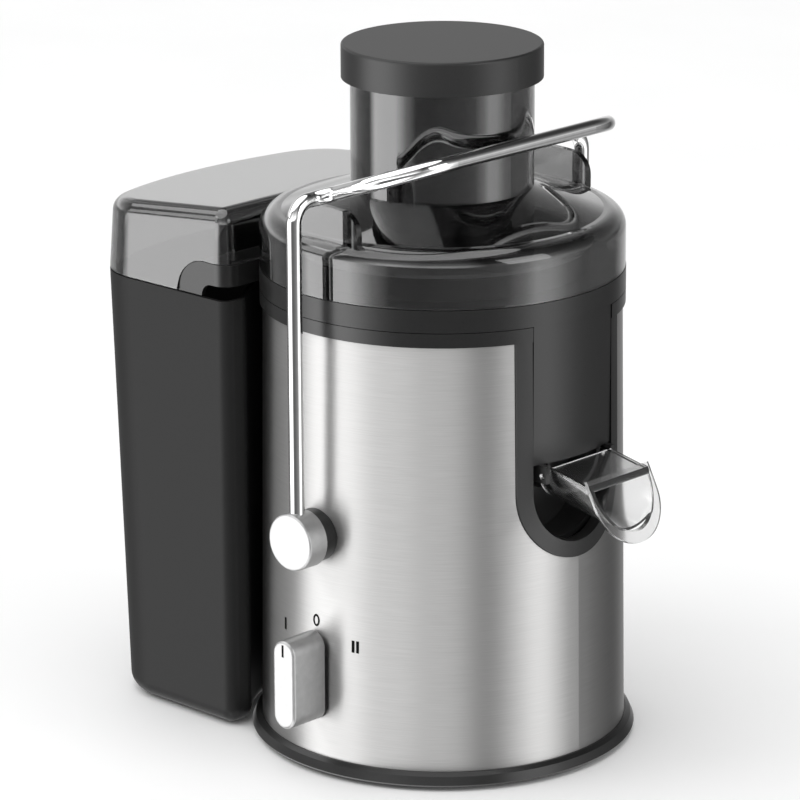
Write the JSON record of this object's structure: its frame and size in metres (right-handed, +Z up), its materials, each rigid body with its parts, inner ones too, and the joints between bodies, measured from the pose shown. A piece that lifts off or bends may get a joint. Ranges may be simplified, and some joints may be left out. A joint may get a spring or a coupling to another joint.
{
  "type": "centrifugal juicer",
  "caption": "Upright centrifugal juicer: steel motor base, filter basket under a smoky lid with feed chute and pusher, locking bail, drip spout and pulp container.",
  "frame": {"origin": "on the axis of the motor and basket, at the level of the table that the feet stand on", "axes": "+Z up along the basket's axis, +X towards the spout, -X towards the pulp container, -Y towards the front with the speed knob"},
  "size_m": [0.2843, 0.203, 0.32],
  "materials": {
    "black_plastic": "fine satin moulded black plastic",
    "housing_black": "plain black moulded plastic",
    "cap_black": "matt fine-grained black plastic",
    "pusher_dark": "dark moulded plastic",
    "rubber": "soft black rubber",
    "steel_screw": "plain turned steel",
    "brushed_sleeve": "steel brushed around the body",
    "basket_steel": "pressed stainless steel",
    "bracket_alloy": "die-cast",
    "core_iron": "laminated electrical steel",
    "copper": "enamelled copper",
    "carbon": "carbon graphite",
    "circuit_board": "green laminate with parts",
    "smoky_clear": "smoky transparent moulded plastic",
    "clear_spout": "clear moulded plastic",
    "bail_chrome": "polished bent rod",
    "satin_alloy": "satin, faces brushed"
  },
  "bodies": {
    "housing": {"base_pan": "black_plastic", "rubber_feet": "rubber", "base_screws": "steel_screw", "steel_sleeve": "brushed_sleeve", "cord_inlet": "housing_black", "upper_housing": "black_plastic", "motor_upper_bracket": "bracket_alloy", "motor_lower_bracket": "black_plastic", "motor_mounts": "rubber", "upper_bearing": "steel_screw", "lower_bearing": "steel_screw", "motor_bolts": "steel_screw", "stator_core": "core_iron", "field_coils": "copper", "brush_holders": "housing_black", "carbon_brushes": "carbon", "shaft_seal": "rubber", "rotary_switch": "housing_black", "control_board": "circuit_board", "pivot_bosses": "black_plastic", "safety_switch": "housing_black", "juice_bowl": "black_plastic", "lid": "smoky_clear"},
    "filter_basket": {"motor_shaft": "steel_screw", "armature_core": "core_iron", "commutator": "copper", "cooling_fan": "housing_black", "drive_coupling": "housing_black", "basket_hub": "black_plastic", "filter_mesh": "basket_steel", "grater_disc": "basket_steel", "basket_rim": "basket_steel"},
    "bail": {"locking_bail": "bail_chrome", "front_pivot_knob": "satin_alloy", "rear_pivot_knob": "satin_alloy", "pivot_pins": "steel_screw", "interlock_cam": "housing_black"},
    "speed_control": {"speed_knob": "satin_alloy", "switch_spindle": "steel_screw"},
    "switch_button": {"switch_plunger": "housing_black"},
    "spout": {"drip_spout": "clear_spout"},
    "pusher": {"pusher_body": "pusher_dark", "pusher_cap": "cap_black"},
    "pulp_bin": {"pulp_container": "black_plastic"}
  },
  "joints": [
    {"name": "basket_spin", "type": "hinge", "parent": "housing", "child": "filter_basket", "pos_m": [0, 0, 0.1], "axis": [0, 0, 1], "continuous": true},
    {"name": "bail_swing", "type": "hinge", "parent": "housing", "child": "bail", "pos_m": [0, 0, 0.1109], "axis": [0, 1, 0], "range_deg": [0, 100]},
    {"name": "speed_turn", "type": "hinge", "parent": "housing", "child": "speed_control", "pos_m": [0, -0.09, 0.0455], "axis": [0, 1, 0], "range_deg": [-52.5, 52.5]},
    {"name": "button_travel", "type": "slide", "parent": "housing", "child": "switch_button", "axis": [0, 0, 1], "range_m": [0, 0.002]},
    {"name": "spout_tilt", "type": "hinge", "parent": "housing", "child": "spout", "pos_m": [0.0805, 0, 0.141], "axis": [0, -1, 0], "range_deg": [0, 25]},
    {"name": "pusher_lift", "type": "slide", "parent": "housing", "child": "pusher", "axis": [0, 0, 1], "range_m": [0, 0.13]},
    {"name": "bin_slide", "type": "slide", "parent": "housing", "child": "pulp_bin", "axis": [-1, 0, 0], "range_m": [0, 0.2]}
  ],
  "couplings": [
    {"joint": "button_travel", "follows": "bail_swing", "m_per_rad": 0.0011459}
  ]
}
